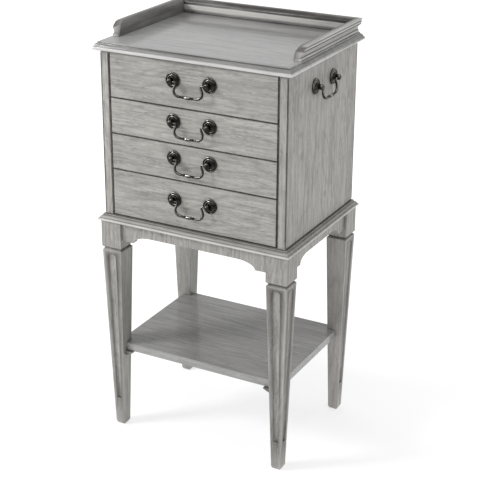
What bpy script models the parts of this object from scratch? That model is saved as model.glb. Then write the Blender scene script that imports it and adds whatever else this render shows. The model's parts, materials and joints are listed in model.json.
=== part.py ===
"""Jewellery chest: a four-drawer case with a gallery top on a four-legged stand.

Metres, +Z up, front of the chest towards -Y. The origin is on the floor under
the middle of the bounding box.
"""
import math

import bmesh
import bpy
from mathutils import Matrix, Vector

# Fits
GAP = 0.0003
ARRIS = 0.0008

# Case
CASE_HALF_WIDTH = 0.215
CASE_HALF_DEPTH = 0.164
CASE_BOTTOM = 0.519
CASE_TOP = 0.875
SIDE_THICKNESS = 0.0195
BACK_THICKNESS = 0.008
FLOOR_THICKNESS = 0.0075
OPENING_HALF_WIDTH = CASE_HALF_WIDTH - SIDE_THICKNESS
BACK_PANEL_FRONT = CASE_HALF_DEPTH - BACK_THICKNESS

# Moulded boards: height above the board's underside, overhang past the case
SLAB_BOTTOM = CASE_TOP + GAP
SLAB_PROFILE = (
    (0.0, 0.002), (0.0017, 0.0055), (0.0032, 0.008), (0.0039, 0.0108),
    (0.0052, 0.0122), (0.0069, 0.0126), (0.0087, 0.0122), (0.0102, 0.0109),
    (0.0109, 0.0098), (0.0132, 0.0089), (0.0155, 0.007), (0.0172, 0.0049),
    (0.0175, 0.0039), (0.0189, 0.0037), (0.0202, 0.0032),
)
WAIST_BOTTOM = 0.5025
WAIST_PROFILE = (
    (0.0, 0.008), (0.001, 0.0088), (0.0017, 0.0115), (0.003, 0.0132),
    (0.0045, 0.0136), (0.006, 0.0132), (0.0073, 0.0119), (0.008, 0.0106),
    (0.01, 0.0096), (0.012, 0.0076), (0.0133, 0.0054), (0.0135, 0.0043),
    (0.015, 0.004), (0.0162, 0.0036),
)
BACK_OVERHANG_SHARE = 0.8
SLAB_TOP = SLAB_BOTTOM + SLAB_PROFILE[-1][0]

# Gallery rails: height, then inner and outer faces measured outwards
GALLERY_INNER_X = 0.2005
GALLERY_INNER_Y = 0.1505
GALLERY_FRONT_Y = -0.1145
GALLERY_NOSE_RADIUS = 0.030
GALLERY_BOTTOM = SLAB_TOP + GAP
GALLERY_PROFILE = (
    (0.0, 0.0, 0.0155), (0.0045, 0.0, 0.0155), (0.0052, 0.0, 0.0142),
    (0.0085, 0.0, 0.0138), (0.0125, 0.0, 0.0152), (0.016, 0.0002, 0.0186),
    (0.0168, 0.0004, 0.0192), (0.0172, 0.0005, 0.0182), (0.0182, 0.0008, 0.0182),
    (0.0186, 0.001, 0.0194), (0.023, 0.0032, 0.0198), (0.0234, 0.0034, 0.0188),
    (0.0242, 0.0039, 0.0188), (0.0248, 0.0043, 0.02), (0.0266, 0.0056, 0.0207),
    (0.0284, 0.0074, 0.0201), (0.0296, 0.0094, 0.0184),
)

# Stand
LEG_X = 0.199
LEG_Y = 0.1475
LEG_TOP = WAIST_BOTTOM - GAP
BLOCK_HALF = 0.024
BLOCK_BOTTOM = 0.444
NOTCH_DEPTH = 0.0045
NOTCH_HALF_HEIGHT = 0.0043
SHAFT_TOP_HALF = 0.0234
FOOT_HALF = 0.0113
FOOT_TIP_HALF = 0.0085
FOOT_CHAMFER = 0.006
SHAFT_TOP = BLOCK_BOTTOM - 2.0 * NOTCH_HALF_HEIGHT
FLUTE_SHARE = 0.46
FLUTE_DEPTH = 0.0042
FLUTE_FLOOR_SHARE = 0.7
FLUTE_BOTTOM = 0.068
FLUTE_TOP = 0.428
FLUTE_ARC_STEPS = 8
APRON_THICKNESS = 0.016
APRON_RECESS = 0.0065
APRON_LOW = 0.4615
APRON_HIGH = 0.4785
APRON_FLAT = 0.028
APRON_CURVE_FRONT = 0.044
APRON_CURVE_SIDE = 0.032
APRON_ARC_STEPS = 8

# Shelf
SHELF_TOP = 0.209
SHELF_THICKNESS = 0.0185
SHELF_HALF_X = 0.2015
SHELF_HALF_Y = 0.150
CLEAT_LENGTH = 0.018
CLEAT_HALF_WIDTH = 0.008
CLEAT_TIP = 0.003
CLEAT_ROOT = 0.011

# Drawers, from the lowest up
DRAWER_EDGES = (0.5205, 0.624, 0.7025, 0.780, 0.8750)
DRAWER_NAMES = ("bottom_drawer", "lower_drawer", "upper_drawer", "top_drawer")
EDGE_GAP = 0.001
FRONT_SIDE_GAP = 0.0025
FRONT_SETBACK = 0.0006
FRONT_THICKNESS = 0.018
BOX_HALF_WIDTH = 0.1925
BOX_WALL = 0.010
BOX_BACK_Y = 0.150
BOX_RISE = 0.0066
BOX_HEADROOM = 0.009
PANEL_RISE = 0.003
PANEL_THICKNESS = 0.005
LINING_THICKNESS = 0.002
DUST_BELOW = 0.0003
DUST_ABOVE = 0.0062
DUST_SETBACK = 0.001
FRONT_FACE_Y = -CASE_HALF_DEPTH + FRONT_SETBACK
FRONT_REAR_Y = FRONT_FACE_Y + FRONT_THICKNESS

# Handles
ROSETTE_HALF_SPACING = 0.0422
HANDLE_RISE = 0.0092
SIDE_HANDLE_Z = 0.829
PIVOT_STANDOFF = 0.0124
POST_SEGMENTS = 16
POST_PROFILE = (
    (0.0158, 0.0), (0.0164, 0.0012), (0.0159, 0.0027), (0.0146, 0.0033),
    (0.0135, 0.0026), (0.0126, 0.0023), (0.0117, 0.0030), (0.0106, 0.0037),
    (0.0095, 0.0031), (0.0084, 0.0034), (0.0070, 0.0046), (0.0059, 0.0062),
    (0.0055, 0.0084), (0.0059, 0.0108), (0.0061, 0.0126), (0.0057, 0.0146),
    (0.0045, 0.0164), (0.0025, 0.0176),
)
POST_TIP = 0.0179
BORE_RADIUS = 0.0023
BORE_END = 0.001
BORE_SEGMENTS = 12
# Right half of the bail: across, outwards, height, thickness radius
BAIL_HALF = (
    (0.0, 0.0030, -0.0280, 0.0036), (0.0042, 0.0030, -0.0280, 0.0033),
    (0.0078, 0.0030, -0.0280, 0.0022), (0.0092, 0.0030, -0.0280, 0.0019),
    (0.0104, 0.0030, -0.0280, 0.0030), (0.0118, 0.0030, -0.0280, 0.0021),
    (0.0180, 0.0029, -0.0279, 0.0023), (0.0240, 0.0027, -0.0271, 0.0024),
    (0.0286, 0.0024, -0.0250, 0.0024), (0.0315, 0.0020, -0.0218, 0.0024),
    (0.0327, 0.0015, -0.0178, 0.0023), (0.0325, 0.0010, -0.0138, 0.0023),
    (0.0311, 0.0006, -0.0099, 0.0022), (0.0294, 0.0003, -0.0062, 0.0021),
    (0.0287, 0.0001, -0.0031, 0.0020), (0.0297, 0.0, -0.0009, 0.0019),
    (0.0320, 0.0, 0.0, 0.0019), (0.0365, 0.0, 0.0, 0.0019),
    (0.0412, 0.0, 0.0, 0.0019),
)
BAIL_SEGMENTS = 10

# Frame: the hanging bails stand further out than the back moulding
BAIL_PROUD = PIVOT_STANDOFF + GAP - FRONT_SETBACK + BAIL_HALF[0][1] + BAIL_HALF[0][3]
BACK_PROUD = WAIST_PROFILE[4][1] * BACK_OVERHANG_SHARE
FRAME_SHIFT = Vector((0.0, (BAIL_PROUD - BACK_PROUD) / 2.0, 0.0))

WOOD = ("grey_wood", (0.36, 0.34, 0.31, 1.0), 0.55, 0.0)
INNER_WOOD = ("inner_wood", (0.52, 0.42, 0.30, 1.0), 0.6, 0.0)
METAL = ("antique_brass", (0.09, 0.07, 0.05, 1.0), 0.38, 1.0)
FELT = ("felt", (0.05, 0.05, 0.055, 1.0), 0.95, 0.0)


def clear_scene():
    """Remove every object left in the file."""
    for obj in list(bpy.data.objects):
        bpy.data.objects.remove(obj, do_unlink=True)


def material(finish):
    """Return the Principled material for a finish, making it once."""
    name, colour, roughness, metallic = finish
    found = bpy.data.materials.get(name)
    if found:
        return found
    made = bpy.data.materials.new(name)
    made.use_nodes = True
    shader = made.node_tree.nodes["Principled BSDF"]
    shader.inputs["Base Color"].default_value = colour
    shader.inputs["Roughness"].default_value = roughness
    shader.inputs["Metallic"].default_value = metallic
    return made


def mesh_from(points, faces):
    """Build a mesh with every face turned outwards."""
    mesh = bpy.data.meshes.new("body")
    mesh.from_pydata([tuple(p) for p in points], [], faces)
    work = bmesh.new()
    work.from_mesh(mesh)
    bmesh.ops.recalc_face_normals(work, faces=work.faces)
    work.to_mesh(mesh)
    work.free()
    return mesh


def add_piece(name, mesh, finish, origin=(0.0, 0.0, 0.0)):
    """Put a named object in the scene at its own origin."""
    mesh.materials.clear()
    mesh.materials.append(material(finish))
    mesh.name = name
    obj = bpy.data.objects.new(name, mesh)
    obj.location = Vector(origin) + FRAME_SHIFT
    bpy.context.scene.collection.objects.link(obj)
    return obj


def loft(rings):
    """Skin a stack of equal rings and cap both ends."""
    count = len(rings[0])
    points = [p for ring in rings for p in ring]
    faces = []
    for level in range(len(rings) - 1):
        base = level * count
        for i in range(count):
            j = (i + 1) % count
            faces.append((base + i, base + j, base + count + j, base + count + i))
    faces.append(tuple(reversed(range(count))))
    faces.append(tuple(range(len(points) - count, len(points))))
    return mesh_from(points, faces)


def rectangle(x0, x1, y0, y1, z):
    """Four corners of a level rectangle."""
    return [(x0, y0, z), (x1, y0, z), (x1, y1, z), (x0, y1, z)]


def board(low, high, arris=ARRIS):
    """A rectangular board with its edges eased."""
    mesh = loft([rectangle(low[0], high[0], low[1], high[1], z) for z in (low[2], high[2])])
    work = bmesh.new()
    work.from_mesh(mesh)
    bmesh.ops.bevel(work, geom=work.edges, offset=arris, segments=1, affect="EDGES")
    work.to_mesh(mesh)
    work.free()
    return mesh


def prism(outline, axis, low, high):
    """Extrude an outline along the X, Y or Z axis."""
    rings = []
    for reach in (low, high):
        ring = []
        for u, v in outline:
            point = [u, v]
            point.insert(axis, reach)
            ring.append(tuple(point))
        rings.append(ring)
    return loft(rings)


def placed(mesh, matrix):
    """A transformed copy of a mesh, turned right side out if mirrored."""
    copy = mesh.copy()
    copy.transform(matrix)
    if matrix.determinant() < 0.0:
        copy.flip_normals()
    return copy


def subtract(mesh, cutter):
    """Cut one mesh away from another and return the result."""
    target = bpy.data.objects.new("target", mesh)
    tool = bpy.data.objects.new("tool", cutter)
    tool.display_type = "WIRE"
    tool.hide_render = True
    for obj in (target, tool):
        bpy.context.scene.collection.objects.link(obj)
    cut = target.modifiers.new("cut", "BOOLEAN")
    cut.operation = "DIFFERENCE"
    cut.solver = "EXACT"
    cut.object = tool
    graph = bpy.context.evaluated_depsgraph_get()
    result = bpy.data.meshes.new_from_object(target.evaluated_get(graph))
    bpy.data.objects.remove(target, do_unlink=True)
    bpy.data.objects.remove(tool, do_unlink=True)
    return result


def moulded_board(bottom, profile):
    """A board with the same moulded edge worked on all four sides."""
    rings = []
    for height, overhang in profile:
        half_width = CASE_HALF_WIDTH + overhang
        front = -CASE_HALF_DEPTH - overhang
        back = CASE_HALF_DEPTH + overhang * BACK_OVERHANG_SHARE
        rings.append(rectangle(-half_width, half_width, front, back, bottom + height))
    return loft(rings)


def shaft_half(z):
    """Half width of the tapered leg shaft at a height."""
    share = (z - FOOT_CHAMFER) / (SHAFT_TOP - FOOT_CHAMFER)
    return FOOT_HALF + (SHAFT_TOP_HALF - FOOT_HALF) * share


def flute_outline():
    """Round head and square foot of a flute as (share of half width, height)."""
    radius = shaft_half(FLUTE_TOP) * FLUTE_SHARE
    centre = FLUTE_TOP - radius
    points = []
    for step in range(FLUTE_ARC_STEPS + 1):
        angle = math.pi * step / FLUTE_ARC_STEPS
        points.append((math.cos(angle), centre + radius * math.sin(angle)))
    return points + [(-1.0, FLUTE_BOTTOM), (1.0, FLUTE_BOTTOM)]


def flute_cutter(face_axis):
    """Tool for the tapered flute in the +X (0) or +Y (1) face of a leg."""
    rings = []
    for lift in (-FLUTE_DEPTH, FLUTE_DEPTH):
        spread = 1.0 + (1.0 - FLUTE_FLOOR_SHARE) * lift / FLUTE_DEPTH
        ring = []
        for share, z in flute_outline():
            across = share * spread * shaft_half(z) * FLUTE_SHARE
            out = shaft_half(z) + lift
            ring.append((out, across, z) if face_axis == 0 else (across, out, z))
        rings.append(ring)
    return loft(rings)


def leg_mesh():
    """A leg about its own centre line, fluted on its +X and +Y faces."""
    levels = (
        (0.0, FOOT_TIP_HALF),
        (FOOT_CHAMFER, FOOT_HALF),
        (SHAFT_TOP, SHAFT_TOP_HALF),
        (SHAFT_TOP + NOTCH_HALF_HEIGHT, BLOCK_HALF - NOTCH_DEPTH),
        (BLOCK_BOTTOM, BLOCK_HALF),
        (LEG_TOP, BLOCK_HALF),
    )
    mesh = loft([rectangle(-h, h, -h, h, z) for z, h in levels])
    for face_axis in (0, 1):
        mesh = subtract(mesh, flute_cutter(face_axis))
    return mesh


def add_legs():
    """Four legs, each with its flutes on the two outward faces."""
    mesh = leg_mesh()
    for end, sign_y in (("front", -1.0), ("back", 1.0)):
        for side, sign_x in (("left", -1.0), ("right", 1.0)):
            mirror = Matrix.Diagonal((sign_x, sign_y, 1.0, 1.0))
            origin = (sign_x * LEG_X, sign_y * LEG_Y, 0.0)
            add_piece(f"leg_{end}_{side}", placed(mesh, mirror), WOOD, origin)


def apron_outline(half_length, curve_length):
    """Apron face: flat ends, an ogee step and a raised straight middle."""
    cusp = half_length - APRON_FLAT
    rise = APRON_HIGH - APRON_LOW
    lower = [(half_length, APRON_LOW)]
    for step in range(APRON_ARC_STEPS + 1):
        angle = math.pi / 2.0 * step / APRON_ARC_STEPS
        across = cusp - curve_length + curve_length * math.cos(angle)
        lower.append((across, APRON_LOW + rise * math.sin(angle)))
    mirrored = [(-u, v) for u, v in reversed(lower)]
    return lower + mirrored + [(-half_length, LEG_TOP), (half_length, LEG_TOP)]


def add_aprons():
    """The four shaped rails between the leg blocks."""
    half_x = LEG_X - BLOCK_HALF - GAP
    half_y = LEG_Y - BLOCK_HALF - GAP
    outer_x = LEG_X + BLOCK_HALF - APRON_RECESS
    outer_y = LEG_Y + BLOCK_HALF - APRON_RECESS
    front = prism(apron_outline(half_x, APRON_CURVE_FRONT), 1, -outer_y, APRON_THICKNESS - outer_y)
    side = prism(apron_outline(half_y, APRON_CURVE_SIDE), 0, outer_x - APRON_THICKNESS, outer_x)
    add_piece("apron_front", front, WOOD)
    add_piece("apron_back", placed(front, Matrix.Diagonal((1.0, -1.0, 1.0, 1.0))), WOOD)
    add_piece("apron_right", side, WOOD)
    add_piece("apron_left", placed(side, Matrix.Diagonal((-1.0, 1.0, 1.0, 1.0))), WOOD)


def add_shelf():
    """The low shelf, notched around the legs, on four small cleats."""
    reach = shaft_half(SHELF_TOP) + GAP
    inner_x = LEG_X - reach
    inner_y = LEG_Y - reach
    quarter = [(SHELF_HALF_X, inner_y), (inner_x, inner_y), (inner_x, SHELF_HALF_Y)]
    back_half = quarter + [(-x, y) for x, y in reversed(quarter)]
    outline = back_half + [(x, -y) for x, y in reversed(back_half)]
    bottom = SHELF_TOP - SHELF_THICKNESS
    add_piece("shelf", prism(outline, 2, bottom, SHELF_TOP), WOOD)
    root = LEG_X - shaft_half(bottom) - GAP
    top = bottom - GAP
    cleat = [
        (root, top), (root, top - CLEAT_ROOT),
        (root - CLEAT_LENGTH, top - CLEAT_TIP), (root - CLEAT_LENGTH, top),
    ]
    mesh = prism(cleat, 1, -CLEAT_HALF_WIDTH, CLEAT_HALF_WIDTH)
    for end, sign_y in (("front", -1.0), ("back", 1.0)):
        for side, sign_x in (("left", -1.0), ("right", 1.0)):
            mirror = Matrix.Diagonal((sign_x, 1.0, 1.0, 1.0))
            origin = (0.0, sign_y * LEG_Y, 0.0)
            add_piece(f"shelf_cleat_{end}_{side}", placed(mesh, mirror), WOOD, origin)


def add_case():
    """Side, back, floor and dust panels of the drawer case."""
    for side, low, high in (
        ("left", -CASE_HALF_WIDTH, -OPENING_HALF_WIDTH),
        ("right", OPENING_HALF_WIDTH, CASE_HALF_WIDTH),
    ):
        mesh = board((low, -CASE_HALF_DEPTH, CASE_BOTTOM), (high, CASE_HALF_DEPTH, CASE_TOP))
        add_piece(f"case_side_{side}", mesh, WOOD)
    inner = OPENING_HALF_WIDTH - GAP
    back = board((-inner, BACK_PANEL_FRONT, CASE_BOTTOM), (inner, CASE_HALF_DEPTH, CASE_TOP))
    add_piece("case_back", back, WOOD)
    start = FRONT_REAR_Y + DUST_SETBACK
    stop = BACK_PANEL_FRONT - GAP
    floor = board((-inner, start, CASE_BOTTOM), (inner, stop, CASE_BOTTOM + FLOOR_THICKNESS))
    add_piece("case_floor", floor, INNER_WOOD)
    for name, edge in zip(DRAWER_NAMES[1:], DRAWER_EDGES[1:]):
        mesh = board((-inner, start, edge - DUST_BELOW), (inner, stop, edge + DUST_ABOVE))
        add_piece(f"{name}_dust_panel", mesh, INNER_WOOD)


def nose_setback(height):
    """How far the rounded front end of a gallery rail falls back."""
    rise = height - (GALLERY_PROFILE[-1][0] - GALLERY_NOSE_RADIUS)
    if rise <= 0.0:
        return 0.0
    across = math.sqrt(max(0.0, GALLERY_NOSE_RADIUS ** 2 - rise ** 2))
    return GALLERY_NOSE_RADIUS - across


def rail_mesh(starts, ends):
    """A moulded rail between two sets of end points, level by level."""
    points = []
    for pair in zip(starts, ends):
        for end in pair:
            points.extend(end)
    faces = [(0, 1, 3, 2)]
    levels = len(starts)
    for level in range(levels - 1):
        base = level * 4
        for a, b in ((0, 1), (1, 3), (3, 2), (2, 0)):
            faces.append((base + a, base + b, base + 4 + b, base + 4 + a))
    last = (levels - 1) * 4
    faces.append((last, last + 2, last + 3, last + 1))
    return mesh_from(points, faces)


def add_gallery():
    """Left, right and back rails, mitred at the back corners."""
    front = []
    corner = []
    for height, inner, outer in GALLERY_PROFILE:
        z = GALLERY_BOTTOM + height
        y = GALLERY_FRONT_Y + nose_setback(height)
        front.append([(GALLERY_INNER_X + o, y, z) for o in (inner, outer)])
        corner.append([
            (GALLERY_INNER_X + o, GALLERY_INNER_Y + o - GAP, z) for o in (inner, outer)
        ])
    right = rail_mesh(front, corner)
    add_piece("gallery_right", right, WOOD)
    add_piece("gallery_left", placed(right, Matrix.Diagonal((-1.0, 1.0, 1.0, 1.0))), WOOD)
    back_end = [[(x - GAP, y + GAP, z) for x, y, z in pair] for pair in corner]
    other_end = [[(-x, y, z) for x, y, z in pair] for pair in back_end]
    add_piece("gallery_back", rail_mesh(other_end, back_end), WOOD)


def lathe(profile, tip, segments):
    """Turn a profile about the -Y axis, closed by a flat base and a tip."""
    points = []
    for radius, out in profile:
        for i in range(segments):
            angle = 2.0 * math.pi * i / segments
            points.append((radius * math.cos(angle), -out, radius * math.sin(angle)))
    faces = [tuple(range(segments))]
    for level in range(len(profile) - 1):
        base = level * segments
        for i in range(segments):
            j = (i + 1) % segments
            faces.append((base + i, base + j, base + segments + j, base + segments + i))
    last = (len(profile) - 1) * segments
    points.append((0.0, -tip, 0.0))
    for i in range(segments):
        faces.append((last + i, last + (i + 1) % segments, len(points) - 1))
    return mesh_from(points, faces)


def post_mesh():
    """A rosette and its domed post, bored on its -X side for the bail."""
    rings = []
    for x in (-2.0 * POST_PROFILE[0][0], BORE_END):
        ring = []
        for i in range(BORE_SEGMENTS):
            angle = 2.0 * math.pi * i / BORE_SEGMENTS
            y = -PIVOT_STANDOFF + BORE_RADIUS * math.cos(angle)
            ring.append((x, y, BORE_RADIUS * math.sin(angle)))
        rings.append(ring)
    return subtract(lathe(POST_PROFILE, POST_TIP, POST_SEGMENTS), loft(rings))


def bail_mesh():
    """A swan-neck bail about its own pivot line, hanging in -Z."""
    left = [(-x, out, z, r) for x, out, z, r in reversed(BAIL_HALF[1:])]
    path = left + list(BAIL_HALF)
    centres = [Vector((x, -out, z)) for x, out, z, r in path]
    rings = []
    for i, centre in enumerate(centres):
        ahead = centres[min(i + 1, len(centres) - 1)]
        behind = centres[max(i - 1, 0)]
        along = (ahead - behind).normalized()
        across = along.cross(Vector((0.0, 1.0, 0.0))).normalized()
        lift = across.cross(along)
        ring = []
        for step in range(BAIL_SEGMENTS):
            angle = 2.0 * math.pi * step / BAIL_SEGMENTS
            spoke = across * math.cos(angle) + lift * math.sin(angle)
            ring.append(centre + spoke * path[i][3])
        rings.append(ring)
    return loft(rings)


def add_handle(name, posts, bail, face_point, turn):
    """Two posts on a face and the bail that swings between them."""
    turned = Matrix.Rotation(turn, 4, "Z")
    lift = turned @ Vector((0.0, -GAP, 0.0))
    for side, sign in (("left", -1.0), ("right", 1.0)):
        spin = Matrix.Rotation(0.0 if sign > 0.0 else math.pi, 4, "Y")
        offset = turned @ Vector((sign * ROSETTE_HALF_SPACING, 0.0, 0.0))
        origin = Vector(face_point) + offset + lift
        add_piece(f"{name}_post_{side}", placed(posts, turned @ spin), METAL, origin)
    pivot = Vector(face_point) + turned @ Vector((0.0, -PIVOT_STANDOFF - GAP, 0.0))
    add_piece(f"{name}_bail", placed(bail, turned), METAL, pivot)


def box_outline(half_width, front, back, wall):
    """Plan of a drawer carcass: two sides and a back in one U."""
    inner = half_width - wall
    return [
        (-half_width, front), (-inner, front), (-inner, back - wall), (inner, back - wall),
        (inner, front), (half_width, front), (half_width, back), (-half_width, back),
    ]


def add_drawer(name, low_edge, high_edge, posts, bail):
    """One drawer: front, carcass, bottom panel, felt and handle."""
    half_front = OPENING_HALF_WIDTH - FRONT_SIDE_GAP
    low = low_edge + EDGE_GAP
    high = high_edge - EDGE_GAP
    front = board((-half_front, FRONT_FACE_Y, low), (half_front, FRONT_REAR_Y, high))
    add_piece(f"{name}_front", front, WOOD)
    base = low_edge + BOX_RISE
    start = FRONT_REAR_Y + GAP
    outline = box_outline(BOX_HALF_WIDTH, start, BOX_BACK_Y, BOX_WALL)
    add_piece(f"{name}_box", prism(outline, 2, base, high_edge - BOX_HEADROOM), INNER_WOOD)
    inner = BOX_HALF_WIDTH - BOX_WALL - GAP
    stop = BOX_BACK_Y - BOX_WALL - GAP
    panel_low = base + PANEL_RISE
    panel_high = panel_low + PANEL_THICKNESS
    panel = board((-inner, start, panel_low), (inner, stop, panel_high))
    add_piece(f"{name}_bottom", panel, INNER_WOOD)
    felt_low = panel_high + GAP
    felt = board((-inner, start, felt_low), (inner, stop, felt_low + LINING_THICKNESS))
    add_piece(f"{name}_lining", felt, FELT)
    middle = (low_edge + high_edge) / 2.0 + HANDLE_RISE
    add_handle(name, posts, bail, (0.0, FRONT_FACE_Y, middle), 0.0)


def build():
    """Make the whole chest."""
    clear_scene()
    add_legs()
    add_aprons()
    add_piece("stand_top", moulded_board(WAIST_BOTTOM, WAIST_PROFILE), WOOD)
    add_shelf()
    add_case()
    add_piece("case_top", moulded_board(SLAB_BOTTOM, SLAB_PROFILE), WOOD)
    add_gallery()
    posts = post_mesh()
    bail = bail_mesh()
    for name, low, high in zip(DRAWER_NAMES, DRAWER_EDGES[:-1], DRAWER_EDGES[1:]):
        add_drawer(name, low, high, posts, bail)
    for side, sign in (("left", -1.0), ("right", 1.0)):
        face = (sign * CASE_HALF_WIDTH, 0.0, SIDE_HANDLE_Z)
        add_handle(f"side_handle_{side}", posts, bail, face, sign * math.pi / 2.0)


build()
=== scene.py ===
"""Looks for the jewellery chest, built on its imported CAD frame."""

import json
import math

import bmesh
import bpy
from mathutils import Matrix, Vector

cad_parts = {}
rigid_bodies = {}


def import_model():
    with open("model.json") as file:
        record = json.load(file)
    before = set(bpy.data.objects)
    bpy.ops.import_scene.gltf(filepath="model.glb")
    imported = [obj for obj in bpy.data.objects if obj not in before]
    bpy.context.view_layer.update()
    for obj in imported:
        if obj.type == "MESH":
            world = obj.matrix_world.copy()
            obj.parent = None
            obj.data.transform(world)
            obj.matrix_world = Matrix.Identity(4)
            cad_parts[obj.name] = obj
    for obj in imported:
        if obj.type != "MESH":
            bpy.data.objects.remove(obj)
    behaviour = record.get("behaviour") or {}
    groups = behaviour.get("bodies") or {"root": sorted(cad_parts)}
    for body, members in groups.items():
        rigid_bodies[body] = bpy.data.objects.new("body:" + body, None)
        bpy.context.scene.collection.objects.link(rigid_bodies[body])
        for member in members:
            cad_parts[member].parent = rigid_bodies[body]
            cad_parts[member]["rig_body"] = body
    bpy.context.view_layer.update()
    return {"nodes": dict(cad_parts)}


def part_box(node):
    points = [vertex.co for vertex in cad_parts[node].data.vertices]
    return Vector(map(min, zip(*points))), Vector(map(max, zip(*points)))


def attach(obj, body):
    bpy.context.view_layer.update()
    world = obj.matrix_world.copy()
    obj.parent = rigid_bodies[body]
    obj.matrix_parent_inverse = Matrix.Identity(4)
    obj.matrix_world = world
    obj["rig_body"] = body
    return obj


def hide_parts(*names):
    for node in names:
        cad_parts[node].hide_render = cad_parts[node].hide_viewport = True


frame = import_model()

BOARD_CREASE = 35.0
LEG_CREASE = 30.0
MOULDING_CREASE = 48.0
RAIL_CREASE = 50.0
BRASS_CREASE = 60.0
DRAWERS = ("bottom_drawer", "lower_drawer", "upper_drawer", "top_drawer")
SIDES = (("left", -1.0), ("right", 1.0))
ENDS = (("front", -1.0), ("back", 1.0))
CORNERS = [(e, s, ey, sx) for e, ey in ENDS for s, sx in SIDES]


# ---------------------------------------------------------------- materials

class Tree:
    """Short hand for wiring one material."""

    def __init__(self, name):
        self.material = bpy.data.materials.new(name)
        self.material.use_nodes = True
        self.nodes = self.material.node_tree.nodes
        self.links = self.material.node_tree.links
        self.shader = self.nodes["Principled BSDF"]

    def put(self, target, value):
        """Link a socket or set a plain value on an input."""
        if isinstance(value, bpy.types.NodeSocket):
            self.links.new(value, target)
        else:
            target.default_value = value

    def node(self, kind, inputs=None, **settings):
        """Add a node with its settings and inputs."""
        made = self.nodes.new(kind)
        for key, value in settings.items():
            setattr(made, key, value)
        for key, value in (inputs or {}).items():
            self.put(made.inputs[key], value)
        return made

    def maths(self, operation, a, b=0.0, clamp=False):
        """A Math node's result."""
        made = self.node("ShaderNodeMath", {0: a, 1: b}, operation=operation, use_clamp=clamp)
        return made.outputs[0]

    def noise(self, vector, scale, detail=3.0, roughness=0.55, distortion=0.0):
        """A noise texture's value."""
        inputs = {
            "Vector": vector, "Scale": scale, "Detail": detail,
            "Roughness": roughness, "Distortion": distortion,
        }
        return self.node("ShaderNodeTexNoise", inputs).outputs["Fac"]

    def ramp(self, value, low, high, to_low=0.0, to_high=1.0):
        """Map a value range on to another, held at both ends."""
        inputs = {
            "Value": value, "From Min": low, "From Max": high,
            "To Min": to_low, "To Max": to_high,
        }
        return self.node("ShaderNodeMapRange", inputs, interpolation_type="SMOOTHSTEP").outputs[0]

    def mix(self, share, a, b, blend="MIX"):
        """Mix two colours."""
        made = self.node("ShaderNodeMix", data_type="RGBA", blend_type=blend)
        for index, value in ((0, share), (6, a), (7, b)):
            self.put(made.inputs[index], value)
        return made.outputs[2]

    def attribute(self, name):
        """A vertex attribute's value."""
        return self.node("ShaderNodeAttribute", attribute_name=name).outputs["Fac"]

    def bump(self, height, distance, strength=1.0):
        """Raise the surface by a height."""
        inputs = {"Height": height, "Distance": distance, "Strength": strength}
        self.put(self.shader.inputs["Normal"], self.node("ShaderNodeBump", inputs).outputs[0])


WASH = 0.425
WASH_DARK = 0.110
WASH_PALE = 0.560
# Pale tone for rubbed wear, also painted as highlights where rounds and bands catch the light.
PALE_WEAR_AND_HIGHLIGHT = (0.72, 0.71, 0.68)
# Dark glaze tone, also painted as shade in hollows, gaps, inward faces and along rail bases.
GLAZE_AND_SHADE_TONE = (0.026, 0.023, 0.019, 1.0)


def shaded(colour, shade):
    """A colour times a brightness, with full alpha."""
    return (*(c * shade for c in colour), 1.0)


def grain_space(tree, axis, stretch):
    """Object coordinates shifted per piece and drawn out along the grain, and the piece's chance."""
    coords = tree.node("ShaderNodeTexCoord").outputs["Object"]
    chance = tree.node("ShaderNodeObjectInfo").outputs["Random"]
    offsets = {i: tree.maths("MULTIPLY", chance, 3.7 + 2.3 * i) for i in range(3)}
    shift = tree.node("ShaderNodeCombineXYZ", offsets)
    moved = tree.node("ShaderNodeVectorMath", {0: coords, 1: shift.outputs[0]}, operation="ADD").outputs[0]
    scale = [1.0, 1.0, 1.0]
    scale[axis] = 1.0 / stretch
    space = tree.node("ShaderNodeVectorMath", {0: moved, 1: scale}, operation="MULTIPLY").outputs[0]
    return space, chance


def wood_marks(tree, axis):
    """The grain's layers, each a value from 0 to 1, and the spaces they lie in."""
    cloud_space, chance = grain_space(tree, axis, 3.0)
    dash_space, _ = grain_space(tree, axis, 6.0)
    long_space, _ = grain_space(tree, axis, 22.0)
    broad = tree.noise(dash_space, 13.0, 2.0, 0.45, 0.4)
    rings = tree.maths("PINGPONG", tree.maths("MULTIPLY", broad, 16.0), 0.5)
    return {
        "chance": chance,
        "space": dash_space,
        "clouds": tree.ramp(tree.noise(cloud_space, 22.0, 4.0, 0.6), 0.30, 0.72),
        "figure": tree.ramp(rings, 0.0, 0.30, 1.0, 0.0),
        "streaks": tree.ramp(tree.noise(long_space, 190.0, 4.0, 0.6), 0.36, 0.66),
        "dashes": tree.ramp(tree.noise(dash_space, 390.0, 3.0, 0.6), 0.52, 0.70),
        "flecks": tree.ramp(tree.noise(dash_space, 430.0, 2.0, 0.5), 0.30, 0.42, 1.0, 0.0),
        "pores": tree.ramp(tree.noise(long_space, 900.0, 3.0, 0.65), 0.56, 0.70),
    }


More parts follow.
